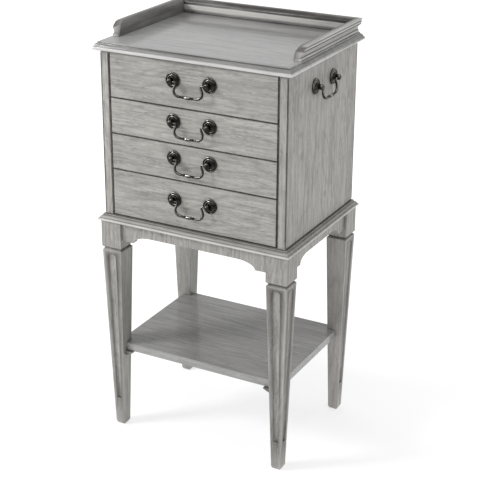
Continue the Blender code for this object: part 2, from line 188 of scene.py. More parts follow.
def washed(tree, marks, shade, contrast, tint):
    """The grey wash over the grain, a little different on each piece."""
    light = shaded(tint, WASH * shade)
    mid = shaded(tint, WASH * shade * (1.0 - 0.36 * contrast))
    dark = shaded(tint, WASH_DARK * shade)
    pale = shaded(tint, WASH_PALE * shade)
    clouds = marks["clouds"]
    broken = tree.ramp(clouds, 0.0, 1.0, 0.60 * contrast, 0.18 * contrast)
    layers = (
        (tree.maths("MULTIPLY", clouds, 0.55), light),
        (tree.maths("MULTIPLY", marks["dashes"], broken), dark),
        (tree.maths("MULTIPLY", marks["figure"], 0.26 * contrast), dark),
        (tree.maths("MULTIPLY", marks["pores"], 0.18 * contrast), dark),
        (tree.maths("MULTIPLY", marks["flecks"], 0.45 * contrast), pale),
    )
    colour = tree.mix(marks["streaks"], mid, light)
    for share, layer in layers:
        colour = tree.mix(share, colour, layer)
    tone = tree.ramp(marks["chance"], 0.0, 1.0, 0.95, 1.05)
    piece_tone = tree.node("ShaderNodeCombineColor", {i: tone for i in range(3)}).outputs[0]
    return tree.mix(1.0, colour, piece_tone, "MULTIPLY")


def aged(tree, colour, space, shade, back_shade_span):
    """Rubbed edges and painted highlights, dark glaze and painted shade in the hollows, gaps and inward
    faces, and painted shade darker towards the back where asked.
    """
    wear_and_highlight_breakup = tree.ramp(tree.noise(space, 90.0, 3.0), 0.25, 0.6, 0.45, 1.0)
    worn = tree.maths("MULTIPLY", tree.attribute("worn"), wear_and_highlight_breakup, clamp=True)
    colour = tree.mix(tree.maths("MULTIPLY", worn, 0.8), colour, shaded(PALE_WEAR_AND_HIGHLIGHT, shade))
    broken = tree.ramp(tree.noise(space, 60.0, 4.0), 0.2, 0.75, 0.55, 1.0)
    glaze = tree.maths("MULTIPLY", tree.attribute("glaze"), broken, clamp=True)
    # Painted shade darker towards the back, standing in for the gallery's shade and its dark reflection on
    # the polished top.
    if back_shade_span:
        place = tree.node("ShaderNodeSeparateXYZ", {0: tree.node("ShaderNodeTexCoord").outputs["Object"]})
        back_shade = tree.ramp(place.outputs["Y"], back_shade_span[0], back_shade_span[1], 0.0, back_shade_span[2])
        glaze = tree.maths("MAXIMUM", glaze, tree.maths("MULTIPLY", back_shade, broken))
    return tree.mix(glaze, colour, GLAZE_AND_SHADE_TONE)


def grey_wood(name, axis, shade=1.0, contrast=1.0, tint=(1.0, 0.972, 0.900), polish=0.15, back_shade_span=None):
    """Open-grained wood under a grey wash, with dark glaze and painted shade in the hollows and pale wear
    and painted highlights on the rounds.

    The last argument gives two places along Y and the share of painted shade, darker towards the back,
    reached between them.
    """
    tree = Tree(name)
    marks = wood_marks(tree, axis)
    colour = washed(tree, marks, shade, contrast, tint)
    tree.put(tree.shader.inputs["Base Color"], aged(tree, colour, marks["space"], shade, back_shade_span))
    tree.put(tree.shader.inputs["Roughness"], tree.ramp(marks["streaks"], 0.0, 1.0, 0.52, 0.40))
    tree.shader.inputs["Coat Weight"].default_value = polish
    tree.shader.inputs["Coat Roughness"].default_value = 0.32 - 0.2 * polish
    open_grain = tree.maths("ADD", marks["pores"], marks["dashes"])
    relief = tree.maths("SUBTRACT", tree.maths("MULTIPLY", marks["streaks"], 0.5), open_grain)
    tree.bump(relief, 0.00020, 0.55)
    return tree.material


def plain_wood(name, axis):
    """Sanded secondary wood for the drawer insides."""
    tree = Tree(name)
    space, _ = grain_space(tree, axis, 12.0)
    broad = tree.noise(space, 8.0, 3.0, 0.5, 0.8)
    rings = tree.ramp(tree.maths("PINGPONG", tree.maths("MULTIPLY", broad, 9.0), 0.5), 0.0, 0.5)
    fine = tree.ramp(tree.noise(space, 420.0, 3.0), 0.35, 0.7)
    colour = tree.mix(rings, (0.36, 0.25, 0.15, 1.0), (0.50, 0.38, 0.25, 1.0))
    colour = tree.mix(tree.maths("MULTIPLY", fine, 0.35), colour, (0.28, 0.18, 0.10, 1.0))
    tree.put(tree.shader.inputs["Base Color"], colour)
    tree.put(tree.shader.inputs["Roughness"], tree.ramp(fine, 0.0, 1.0, 0.55, 0.68))
    tree.bump(fine, 0.00015, 0.4)
    return tree.material


def dark_brass():
    """Cast brass under a dark patina, with pale rubbed wear and painted highlights on the high spots that
    face the light.
    """
    tree = Tree("dark_brass")
    coords = tree.node("ShaderNodeTexCoord").outputs["Object"]
    blotch = tree.ramp(tree.noise(coords, 160.0, 4.0, 0.65), 0.35, 0.7)
    fine = tree.noise(coords, 1400.0, 2.0)
    wear_and_highlight_breakup = tree.ramp(blotch, 0.0, 1.0, 0.55, 1.0)
    wear_and_highlight_share = tree.maths("MULTIPLY", tree.attribute("worn"), wear_and_highlight_breakup, clamp=True)
    colour = tree.mix(blotch, (0.010, 0.0085, 0.0075, 1.0), (0.038, 0.031, 0.027, 1.0))
    # Pale rubbed brass, also painted as highlights on the spots that face the light.
    colour = tree.mix(wear_and_highlight_share, colour, (0.62, 0.59, 0.55, 1.0))
    tree.put(tree.shader.inputs["Base Color"], colour)
    tree.shader.inputs["Metallic"].default_value = 0.9
    tree.put(tree.shader.inputs["Roughness"], tree.ramp(blotch, 0.0, 1.0, 0.20, 0.36))
    tree.bump(tree.maths("ADD", blotch, tree.maths("MULTIPLY", fine, 0.4)), 0.00012, 0.6)
    return tree.material


def felt():
    """Dense charcoal felt with loose fibres on top."""
    tree = Tree("felt_cloth")
    coords = tree.node("ShaderNodeTexCoord").outputs["Object"]
    fibre = tree.noise(coords, 1800.0, 4.0, 0.7, 1.5)
    nap = tree.noise(coords, 40.0, 3.0)
    colour = tree.mix(tree.ramp(fibre, 0.3, 0.75), (0.018, 0.019, 0.022, 1.0), (0.075, 0.076, 0.082, 1.0))
    colour = tree.mix(tree.ramp(nap, 0.35, 0.7, 0.0, 0.3), colour, (0.11, 0.11, 0.118, 1.0))
    tree.put(tree.shader.inputs["Base Color"], colour)
    tree.shader.inputs["Roughness"].default_value = 0.95
    tree.shader.inputs["Sheen Weight"].default_value = 0.4
    tree.bump(fibre, 0.0004, 0.7)
    return tree.material


SHELF_TINT = (1.0, 0.99, 0.97)
TOP_TINT = (1.0, 0.995, 0.99)
RAIL_TINT = (1.0, 0.99, 0.965)
# Painted shade on the top board, darker towards the back by the gallery.
TOP_BACK_SHADE = (-0.06, 0.16, 0.66)
WOOD = [grey_wood(f"grey_wood_{a}", i, 0.89) for i, a in enumerate("xyz")]
CLEAT_WOOD = grey_wood("grey_wood_cleat", 0, 0.45)
SHELF_WOOD = grey_wood("grey_wood_shelf", 0, 0.81, 0.7, SHELF_TINT, 1.0)
TOP_WOOD = grey_wood("grey_wood_top", 0, 0.92, 0.45, TOP_TINT, 1.0, TOP_BACK_SHADE)
RAIL_WOOD = [grey_wood(f"grey_wood_rail_{a}", i, 0.95, 0.45, RAIL_TINT) for i, a in enumerate("xy")]
INNER = [plain_wood(f"inner_wood_{a}", i) for i, a in enumerate("xyz")]
BRASS = dark_brass()
FELT = felt()


# ------------------------------------------------------------------ meshes

def mesh_from(points, faces, **marks):
    """A mesh turned outwards, with named vertex attributes."""
    mesh = bpy.data.meshes.new("piece")
    mesh.from_pydata([tuple(p) for p in points], [], faces)
    work = bmesh.new()
    work.from_mesh(mesh)
    bmesh.ops.recalc_face_normals(work, faces=work.faces)
    work.to_mesh(mesh)
    work.free()
    for name, values in marks.items():
        layer = mesh.attributes.new(name, "FLOAT", "POINT")
        layer.data.foreach_set("value", values)
    return mesh


def placed(mesh, matrix):
    """A transformed copy of a mesh, right side out if mirrored."""
    copy = mesh.copy()
    copy.transform(matrix)
    if matrix.determinant() < 0.0:
        copy.flip_normals()
    return copy


def add(name, mesh, look, body, nodes, crease=BOARD_CREASE):
    """Show a finished mesh in place of its CAD nodes."""
    mesh.materials.clear()
    mesh.materials.append(look)
    mesh.polygons.foreach_set("use_smooth", [True] * len(mesh.polygons))
    mesh.set_sharp_from_angle(angle=math.radians(crease))
    obj = bpy.data.objects.new(name, mesh)
    bpy.context.scene.collection.objects.link(obj)
    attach(obj, body)
    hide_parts(*nodes)
    return obj


def body_of(node):
    """The CAD body that a node rides on."""
    return frame["nodes"][node]["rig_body"]


def stack(rings, **marks):
    """Skin a stack of rings and cap both ends; marks give one value per ring."""
    count = len(rings[0])
    points = [p for ring in rings for p in ring]
    faces = []
    for level in range(len(rings) - 1):
        base = level * count
        for i in range(count):
            j = (i + 1) % count
            faces.append((base + i, base + j, base + count + j, base + count + i))
    faces.append(tuple(reversed(range(count))))
    faces.append(tuple(range(len(points) - count, len(points))))
    spread = {k: [v for v in values for _ in range(count)] for k, values in marks.items()}
    return mesh_from(points, faces, **spread)


def rectangle(x0, x1, y0, y1, z):
    """Four corners of a level rectangle."""
    return [(x0, y0, z), (x1, y0, z), (x1, y1, z), (x0, y1, z)]


EDGE_RAMP = 0.35
WIDE_FACE = 6.0


def glazed(mesh, radius, border, strength):
    """Round a board's edges and mark a border of glaze and painted shade round every face."""
    work = bmesh.new()
    work.from_mesh(mesh)
    bmesh.ops.bevel(
        work, geom=work.edges, offset=radius, segments=3, profile=0.5, affect="EDGES", clamp_overlap=True
    )
    layer = work.verts.layers.float.new("glaze")
    for vert in work.verts:
        vert[layer] = strength
    wide = [f for f in work.faces if f.calc_area() > border * border * WIDE_FACE]
    for face in wide:
        bmesh.ops.inset_individual(work, faces=[face], thickness=border * EDGE_RAMP, use_even_offset=True)
        for vert in face.verts:
            vert[layer] = strength * EDGE_RAMP
        inner = border * (1.0 - EDGE_RAMP)
        bmesh.ops.inset_individual(work, faces=[face], thickness=inner, use_even_offset=True)
        for vert in face.verts:
            vert[layer] = 0.0
    work.to_mesh(mesh)
    work.free()
    return mesh


def board_piece(node, look, radius=0.0009, border=0.0024, strength=0.4, lift=0.0):
    """A rounded board in the space of one CAD node, its top raised by lift."""
    low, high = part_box(node)
    high.z += lift
    mesh = stack([rectangle(low.x, high.x, low.y, high.y, z) for z in (low.z, high.z)])
    mesh = glazed(mesh, radius, border, strength)
    return add(f"{node}_board", mesh, look, body_of(node), [node])


def subtract(mesh, cutter):
    """Cut one mesh away from another and return the result."""
    target = bpy.data.objects.new("target", mesh)
    tool = bpy.data.objects.new("tool", cutter)
    for obj in (target, tool):
        bpy.context.scene.collection.objects.link(obj)
    cut = target.modifiers.new("cut", "BOOLEAN")
    cut.operation = "DIFFERENCE"
    cut.solver = "EXACT"
    cut.object = tool
    graph = bpy.context.evaluated_depsgraph_get()
    result = bpy.data.meshes.new_from_object(target.evaluated_get(graph))
    bpy.data.objects.remove(target, do_unlink=True)
    bpy.data.objects.remove(tool, do_unlink=True)
    return result


# ------------------------------------------------------------ moulded boards

# height share, overhang share, glaze and painted shade, wear and painted highlight
# The wear on the rounded nose is a painted highlight where it catches the light; the glaze in the cove and
# quirks is glaze with painted shade.
SLAB_PROFILE = (
    (0.0, 0.15, 0.0, 0.0), (0.06, 0.40, 0.0, 0.0), (0.12, 0.60, 0.05, 0.0), (0.165, 0.76, 0.1, 0.0),
    (0.20, 0.87, 0.0, 0.3), (0.26, 0.955, 0.0, 0.6), (0.34, 1.0, 0.0, 0.7), (0.43, 0.965, 0.0, 0.8),
    (0.50, 0.87, 0.0, 0.7), (0.54, 0.785, 0.45, 0.3), (0.56, 0.75, 0.65, 0.0), (0.65, 0.71, 0.58, 0.0),
    (0.73, 0.63, 0.60, 0.0), (0.80, 0.52, 0.64, 0.0), (0.84, 0.42, 0.7, 0.0), (0.86, 0.315, 1.0, 0.0),
    (0.90, 0.305, 1.0, 0.0), (0.96, 0.295, 0.6, 0.0), (0.985, 0.275, 0.35, 0.0), (1.0, 0.235, 0.15, 0.0),
)
WAIST_PROFILE = (
    (0.0, 0.58, 0.4, 0.0), (0.06, 0.64, 0.5, 0.0), (0.10, 0.82, 0.3, 0.0), (0.17, 0.955, 0.0, 0.6),
    (0.27, 1.0, 0.0, 1.0), (0.37, 0.965, 0.0, 1.0), (0.45, 0.87, 0.1, 0.8), (0.49, 0.785, 0.75, 0.0),
    (0.52, 0.76, 0.5, 0.0), (0.62, 0.70, 0.1, 0.2), (0.72, 0.58, 0.0, 0.3), (0.80, 0.42, 0.2, 0.1),
    (0.83, 0.325, 1.0, 0.0), (0.86, 0.315, 0.9, 0.0), (0.93, 0.30, 0.3, 0.2), (1.0, 0.27, 0.6, 0.0),
)


FLAT_INSET = 0.012


def moulded_piece(node, profile, look):
    """A board with a moulding run round its four edges."""
    low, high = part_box(node)
    case_low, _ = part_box("case_side_left")
    _, case_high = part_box("case_side_right")
    rings = []
    for rise, out, _, _ in profile:
        x0 = case_low.x + (low.x - case_low.x) * out
        x1 = case_high.x + (high.x - case_high.x) * out
        y0 = case_low.y + (low.y - case_low.y) * out
        y1 = case_high.y + (high.y - case_high.y) * out
        rings.append(rectangle(x0, x1, y0, y1, low.z + (high.z - low.z) * rise))
    rings.append([inward(p, rings[-1], FLAT_INSET) for p in rings[-1]])
    glaze = [row[2] for row in profile] + [0.0]
    worn = [row[3] for row in profile] + [0.0]
    mesh = stack(rings, glaze=glaze, worn=worn)
    return add(f"{node}_moulded", mesh, look, body_of(node), [node], MOULDING_CREASE)


def inward(point, ring, distance):
    """A ring corner moved towards the middle of its rectangle."""
    middle_x = (ring[0][0] + ring[1][0]) / 2.0
    middle_y = (ring[0][1] + ring[2][1]) / 2.0
    step_x = -distance if point[0] > middle_x else distance
    step_y = -distance if point[1] > middle_y else distance
    return (point[0] + step_x, point[1] + step_y, point[2])


# ------------------------------------------------------------------ gallery

# height share, inner and outer share, glaze and painted shade inside, wear and painted highlight inside,
# glaze and painted shade outside, wear and painted highlight outside
# Inside, the glaze at the foot is painted shadow, the glaze on the upper half is glaze with painted shade,
# and the wear on the lower half is a painted highlight.
GALLERY_PROFILE = (
    (0.0, 0.0, 0.75, 1.0, 0.0, 0.6, 0.0), (0.04, 0.0, 0.75, 0.55, 0.0, 0.0, 0.3),
    (0.10, 0.0, 0.75, 0.42, 0.0, 0.0, 0.5), (0.15, 0.0, 0.745, 0.35, 0.0, 0.0, 0.6),
    (0.176, 0.0, 0.69, 0.28, 0.1, 1.0, 0.0), (0.22, 0.0, 0.67, 0.1, 0.4, 0.5, 0.0),
    (0.29, 0.0, 0.665, 0.0, 0.8, 0.0, 0.1), (0.36, 0.0, 0.69, 0.0, 1.0, 0.0, 0.2),
    (0.43, 0.0, 0.74, 0.0, 1.0, 0.0, 0.2), (0.49, 0.003, 0.82, 0.0, 1.0, 0.0, 0.3),
    (0.54, 0.008, 0.90, 0.0, 1.0, 0.1, 0.3), (0.567, 0.012, 0.93, 0.0, 0.9, 0.2, 0.2),
    (0.581, 0.018, 0.88, 0.1, 0.5, 1.0, 0.0), (0.61, 0.035, 0.88, 0.5, 0.0, 1.0, 0.0),
    (0.63, 0.05, 0.937, 0.75, 0.0, 0.2, 0.2), (0.70, 0.095, 0.957, 0.78, 0.0, 0.0, 0.3),
    (0.777, 0.155, 0.957, 0.78, 0.0, 0.1, 0.2), (0.79, 0.165, 0.908, 0.78, 0.0, 1.0, 0.0),
    (0.817, 0.185, 0.908, 0.78, 0.0, 1.0, 0.0), (0.835, 0.205, 0.96, 0.78, 0.0, 0.2, 0.4),
    (0.87, 0.24, 0.99, 0.78, 0.0, 0.0, 0.6), (0.91, 0.285, 1.0, 0.78, 0.0, 0.0, 0.7),
    (0.945, 0.335, 0.985, 0.72, 0.0, 0.0, 0.8), (0.975, 0.40, 0.945, 0.66, 0.0, 0.0, 0.8),
    (0.993, 0.47, 0.88, 0.58, 0.0, 0.1, 0.7), (1.0, 0.56, 0.80, 0.45, 0.0, 0.25, 0.4),
)
LEDGE_LEVELS = 4
NOSE_LENGTH = 0.036
NOSE_STEP = 0.0022
NOSE_START = 0.16
NOSE_MARK = 0.004
MITRE_GAP = 0.0003
# share of the inside marks, plain painted shade inside, painted highlight on the front ledge
SIDE_RAIL_MARKS = (0.1, 0.72, 1.0)
BACK_RAIL_MARKS = (1.5, 0.0, 0.0)


def nose_setback(share):
    """How far the rounded front end of a rail falls back at a share of its height."""
    if share <= NOSE_START:
        return 0.0
    rise = (share - NOSE_START) / (1.0 - NOSE_START)
    return NOSE_STEP + (NOSE_LENGTH - NOSE_STEP) * (1.0 - math.sqrt(max(0.0, 1.0 - rise * rise)))


def rail_mesh(stations, inside, inside_shade, ledge_highlight):
    """A moulded rail through its stations, each with an (inner, outer) pair per level."""
    levels = len(GALLERY_PROFILE)
    points = []
    glaze = []
    worn = []
    for k, station in enumerate(stations):
        for level, pair in enumerate(station):
            row = GALLERY_PROFILE[level]
            points.extend(pair)
            glaze.extend((row[3] * inside + inside_shade, row[5]))
            ledge = ledge_highlight if k == 0 and level < LEDGE_LEVELS else 0.0
            worn.extend((max(row[4] * inside, ledge), max(row[6], ledge)))
    loops = list(range(0, levels * 2, 2)) + list(range(levels * 2 - 1, 0, -2))
    faces = [tuple(reversed(loops)), tuple(len(points) - levels * 2 + i for i in loops)]
    for k in range(len(stations) - 1):
        base = k * levels * 2
        for a, b in zip(loops, loops[1:] + loops[:1]):
            faces.append((base + a, base + b, base + levels * 2 + b, base + levels * 2 + a))
    return mesh_from(points, faces, glaze=glaze, worn=worn)


def gallery():
    """The three rails round the top."""
    low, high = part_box("gallery_right")
    _, back_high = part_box("gallery_back")
    total = high.z - low.z
    width = high.x - low.x
    inner_y = back_high.y - width
    front = []
    corner = []
    for row in GALLERY_PROFILE:
        z = low.z + row[0] * total
        y = low.y + nose_setback(row[0])
        offsets = (row[1] * width, row[2] * width)
        front.append([(low.x + o, y, z) for o in offsets])
        corner.append([(low.x + o, inner_y + o - MITRE_GAP, z) for o in offsets])
    behind = [[(x, y + NOSE_MARK, z) for x, y, z in pair] for pair in front]
    right = rail_mesh((front, behind, corner), *SIDE_RAIL_MARKS)
    left = placed(right, Matrix.Diagonal((-1.0, 1.0, 1.0, 1.0)))
    add("gallery_rail_right", right, RAIL_WOOD[1], "chest", ["gallery_right"], RAIL_CREASE)
    add("gallery_rail_left", left, RAIL_WOOD[1], "chest", ["gallery_left"], RAIL_CREASE)
    ends = [[(x - MITRE_GAP, y + MITRE_GAP, z) for x, y, z in pair] for pair in corner]
    others = [[(-x, y, z) for x, y, z in pair] for pair in ends]
    back = rail_mesh((others, ends), *BACK_RAIL_MARKS)
    add("gallery_rail_back", back, RAIL_WOOD[0], "chest", ["gallery_back"], RAIL_CREASE)


# --------------------------------------------------------------------- legs

FLUTE_SHARE = 0.46
FLUTE_DEPTH = 0.0042
FLUTE_LOW = 0.068
FLUTE_HIGH = 0.428
BLOCK_HALF = 0.024
BLOCK_BOTTOM = 0.444
NOTCH_HALF = 0.0043
NOTCH_DEPTH = 0.0045
SHAFT_TOP = BLOCK_BOTTOM - 2.0 * NOTCH_HALF
SHAFT_TOP_HALF = 0.0234
FOOT_HALF = 0.0113
FOOT_TIP_HALF = 0.0085
FOOT_CHAMFER = 0.006
FLUTE_RUNS = 6
FLUTE_RINGS = 14
FLUTE_TIP_SHARE = 0.05
COVE_STEPS = 12
COVE_SPREAD = 0.75
COVE_POWER = 2.6
LEG_BEVEL_ANGLE = 38.0
LEG_BEVEL = 0.0006


def shaft_half(z):
    """Half width of the tapered shaft at a height."""
    share = (z - FOOT_CHAMFER) / (SHAFT_TOP - FOOT_CHAMFER)
    return FOOT_HALF + (SHAFT_TOP_HALF - FOOT_HALF) * share


def flute_levels():
    """Heights and width shares of a flute: square foot, round head."""
    radius = shaft_half(FLUTE_HIGH) * FLUTE_SHARE
    centre = FLUTE_HIGH - radius
    levels = [(FLUTE_LOW + (centre - FLUTE_LOW) * i / FLUTE_RUNS, 1.0) for i in range(FLUTE_RUNS + 1)]
    for i in range(1, FLUTE_RINGS):
        angle = math.pi / 2.0 * i / FLUTE_RINGS
        levels.append((centre + radius * math.sin(angle), math.cos(angle)))
    return levels


def flute_cutter(face_axis):
    """Tool with a flat floor and coved sides."""
    rings = []
    for z, share in flute_levels():
        half = shaft_half(z) * FLUTE_SHARE * max(share, FLUTE_TIP_SHARE)
        face = shaft_half(z)
        deep = FLUTE_DEPTH * min(1.0, 0.35 + 1.3 * share)
        ring = []
        for i in range(COVE_STEPS + 1):
            s = -1.0 + 2.0 * i / COVE_STEPS
            s = math.copysign(abs(s) ** COVE_SPREAD, s)
            floor = face - deep * (1.0 - abs(s) ** COVE_POWER)
            ring.append((floor, s * half, z) if face_axis == 0 else (s * half, floor, z))
        for s in (1.0, -1.0):
            out = face + FLUTE_DEPTH
            ring.append((out, s * half, z) if face_axis == 0 else (s * half, out, z))
        rings.append(ring)
    return stack(rings)


NOTCH_GLAZE_AND_SHADE_TOP = BLOCK_BOTTOM - 0.0008
BLOCK_GLAZE = 0.08
INNER_FACE_BAND = 0.0012
# Painted shade on the inward faces, those across the width darker than those across the depth.
INNER_X_SHADE = 0.36
INNER_Y_SHADE = 0.10
CORNER_BAND = 0.0015
CORNER_WEAR = 0.3
FLUTE_END_BAND = 0.001
FLUTE_HEAD_BAND = 0.011
FLUTE_LIP = 0.0015
FLUTE_GLAZE_AND_SHADE = 0.75
FLUTE_GLAZE_AND_SHADE_POWER = 1.4
FLUTE_FOOT_GLAZE_AND_SHADE = 0.5


def shaft_glaze(x, y, z):
    """Glaze and painted shade on the tapered shaft at a point."""
    half = shaft_half(z)
    near = min(abs(x), abs(y))
    depth = half - max(abs(x), abs(y))
    fluted = FLUTE_LOW - FLUTE_END_BAND < z < FLUTE_HIGH + FLUTE_END_BAND
    if fluted and near <= half - CORNER_BAND:
        if depth < FLUTE_LIP and z > FLUTE_HIGH - FLUTE_HEAD_BAND:
            return 1.0
        if z < FLUTE_LOW + FLUTE_END_BAND:
            return FLUTE_FOOT_GLAZE_AND_SHADE
        side = min(1.0, near / (half * FLUTE_SHARE))
        return FLUTE_GLAZE_AND_SHADE * max(0.0, (side - 0.5) / 0.5) ** FLUTE_GLAZE_AND_SHADE_POWER
    if x < INNER_FACE_BAND - half:
        return INNER_X_SHADE
    if y < INNER_FACE_BAND - half:
        return INNER_Y_SHADE
    return 0.0


def mark_leg(mesh):
    """Glaze and painted shade in the notch and flutes, painted shade on the inward faces, wear on the
    outer corners.
    """
    glaze = mesh.attributes.new("glaze", "FLOAT", "POINT")
    worn = mesh.attributes.new("worn", "FLOAT", "POINT")
    for i, vert in enumerate(mesh.vertices):
        x, y, z = vert.co
        if z > SHAFT_TOP + 1e-4:
            glaze.data[i].value = 1.0 if z < NOTCH_GLAZE_AND_SHADE_TOP else BLOCK_GLAZE
            continue
        glaze.data[i].value = shaft_glaze(x, y, z)
        if min(abs(x), abs(y)) > shaft_half(z) - CORNER_BAND:
            worn.data[i].value = CORNER_WEAR
    return mesh


def leg_mesh(top):
    """A leg about its own centre line, fluted on its +X and +Y faces."""
    levels = (
        (0.0, FOOT_TIP_HALF), (FOOT_CHAMFER * 0.55, FOOT_HALF - 0.0009), (FOOT_CHAMFER, FOOT_HALF),
        (SHAFT_TOP, SHAFT_TOP_HALF), (SHAFT_TOP + NOTCH_HALF, BLOCK_HALF - NOTCH_DEPTH),
        (BLOCK_BOTTOM, BLOCK_HALF), (top, BLOCK_HALF),
    )
    mesh = stack([rectangle(-h, h, -h, h, z) for z, h in levels])
    for face_axis in (0, 1):
        mesh = subtract(mesh, flute_cutter(face_axis))
    work = bmesh.new()
    work.from_mesh(mesh)
    limit = math.radians(LEG_BEVEL_ANGLE)
    sharp = [e for e in work.edges if e.is_manifold and e.calc_face_angle() > limit]
    bmesh.ops.bevel(
        work, geom=sharp, offset=LEG_BEVEL, segments=2, profile=0.5, affect="EDGES", clamp_overlap=True
    )
    work.to_mesh(mesh)
    work.free()
    return mark_leg(mesh)


def legs():
    """Four legs, flutes outwards."""
    _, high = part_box("leg_front_left")
    mesh = leg_mesh(high.z)
    for end, side, sign_y, sign_x in CORNERS:
        node = f"leg_{end}_{side}"
        low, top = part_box(node)
        turned = placed(mesh, Matrix.Diagonal((sign_x, sign_y, 1.0, 1.0)))
        turned.transform(Matrix.Translation(((low.x + top.x) / 2.0, (low.y + top.y) / 2.0, 0.0)))
        add(f"{node}_fluted", turned, WOOD[2], "chest", [node], LEG_CREASE)


# ------------------------------------------------------------ aprons, shelf

EASE_ANGLE = 30.0


def softened(node, look, width):
    """Keep a CAD solid, ease its edges and give it its look."""
    obj = frame["nodes"][node]
    weld = obj.modifiers.new("weld", "WELD")
    weld.merge_threshold = 0.00001
    bevel = obj.modifiers.new("ease", "BEVEL")
    bevel.width = width
    bevel.segments = 2
    bevel.limit_method = "ANGLE"
    bevel.angle_limit = math.radians(EASE_ANGLE)
    obj.data.materials.clear()
    obj.data.materials.append(look)


def stand():
    """Aprons, waist board, shelf and cleats."""
    for side in ("front", "back", "left", "right"):
        softened(f"apron_{side}", WOOD[2], 0.0008)
    softened("shelf", SHELF_WOOD, 0.0012)
    for end, side, _, _ in CORNERS:
        softened(f"shelf_cleat_{end}_{side}", CLEAT_WOOD, 0.0006)
    moulded_piece("stand_top", WAIST_PROFILE, WOOD[0])


def case():
    """Panels of the drawer case and the top board."""
    for side, _ in SIDES:
        board_piece(f"case_side_{side}", WOOD[2], 0.0014, 0.003, 0.1)
    board_piece("case_back", WOOD[2])
    board_piece("case_floor", INNER[0], 0.0008)
    for name in DRAWERS[1:]:
        board_piece(f"{name}_dust_panel", INNER[0], 0.0008)
    moulded_piece("case_top", SLAB_PROFILE, TOP_WOOD)


# ------------------------------------------------------------------ drawers

TOP_FRONT_LIFT = 0.0008


def drawers():
    """Fronts, carcasses, bottoms and felt."""
    for name in DRAWERS:
        lift = TOP_FRONT_LIFT if name == DRAWERS[-1] else 0.0
        # The dark border on the fronts is painted shade in the gaps between the drawers.
        board_piece(f"{name}_front", WOOD[0], 0.0006, 0.0009, 0.95, lift)
        softened(f"{name}_box", INNER[1], 0.0008)
        board_piece(f"{name}_bottom", INNER[0], 0.0006)
        felt_piece = board_piece(f"{name}_lining", FELT, 0.0007)


# ------------------------------------------------------------------ handles

POST_SEGMENTS = 48
PIVOT_STANDOFF = 0.0124
# Direction of the painted highlight on the brass, up and out towards the key light.
HIGHLIGHT_DIRECTION = Vector((-0.30, -0.52, 0.80))
HIGHLIGHT_START = 0.50
HIGHLIGHT_SPAN = 0.35
# radius, distance out, wear and painted highlight
POST_PROFILE = (
    (0.0150, 0.0, 0.0), (0.0158, 0.0001, 0.0), (0.0163, 0.0006, 0.1), (0.0164, 0.0013, 0.2),
    (0.0162, 0.0021, 0.4), (0.0157, 0.0028, 0.7), (0.0150, 0.0032, 0.7), (0.0143, 0.0031, 0.3),
    (0.0138, 0.0027, 0.0), (0.0134, 0.0022, 0.0), (0.0128, 0.0020, 0.0), (0.0123, 0.0023, 0.0),
    (0.0118, 0.0030, 0.4), (0.0112, 0.0035, 0.9), (0.0105, 0.0036, 0.9), (0.0099, 0.0032, 0.2),
    (0.0095, 0.0028, 0.0), (0.0090, 0.0029, 0.0), (0.0083, 0.0034, 0.0), (0.0074, 0.0041, 0.1),
    (0.0066, 0.0050, 0.1), (0.0059, 0.0062, 0.0), (0.0055, 0.0076, 0.0), (0.0055, 0.0092, 0.0),
    (0.0058, 0.0106, 0.1), (0.0061, 0.0120, 0.3), (0.0061, 0.0134, 0.5), (0.0059, 0.0148, 0.6),
    (0.0055, 0.0160, 0.5), (0.0047, 0.0169, 0.3), (0.0034, 0.0175, 0.1), (0.0016, 0.01785, 0.0),
)
# right half of the bail: across, outwards, height, thickness radius, wear and painted highlight
BAIL_HALF = (
    (0.0, 0.0030, -0.0280, 0.0034, 1.0), (0.0042, 0.0030, -0.0280, 0.0032, 1.0),
    (0.0078, 0.0030, -0.0280, 0.0023, 0.0), (0.0092, 0.0030, -0.0280, 0.0020, 0.0),
    (0.0104, 0.0030, -0.0280, 0.0032, 0.7), (0.0118, 0.0030, -0.0280, 0.0022, 0.0),
    (0.0180, 0.0028, -0.0279, 0.0026, 0.3), (0.0240, 0.0026, -0.0271, 0.0028, 0.4),
    (0.0286, 0.0023, -0.0250, 0.0028, 0.5), (0.0315, 0.0019, -0.0218, 0.0028, 0.7),
    (0.0327, 0.0014, -0.0178, 0.0027, 0.9), (0.0325, 0.0009, -0.0138, 0.0027, 1.0),
    (0.0311, 0.0006, -0.0099, 0.0026, 0.9), (0.0294, 0.0003, -0.0062, 0.0024, 0.8),
    (0.0287, 0.0001, -0.0031, 0.0022, 0.5), (0.0297, 0.0, -0.0009, 0.0020, 0.5),
    (0.0320, 0.0, 0.0, 0.0019, 0.6), (0.0365, 0.0, 0.0, 0.0019, 0.3), (0.0412, 0.0, 0.0, 0.0019, 0.2),
)
BAIL_SEGMENTS = 16
BAIL_SPLITS = 4


def wear_and_highlight_facing_light(mesh):
    """Keep the wear and painted highlight only where a surface faces up and out, the way the key light
    falls.
    """
    layer = mesh.attributes["worn"]
    for i, vert in enumerate(mesh.vertices):
        facing = vert.normal.dot(HIGHLIGHT_DIRECTION)
        share = max(0.0, min(1.0, (facing - HIGHLIGHT_START) / HIGHLIGHT_SPAN))
        layer.data[i].value *= share
    return mesh


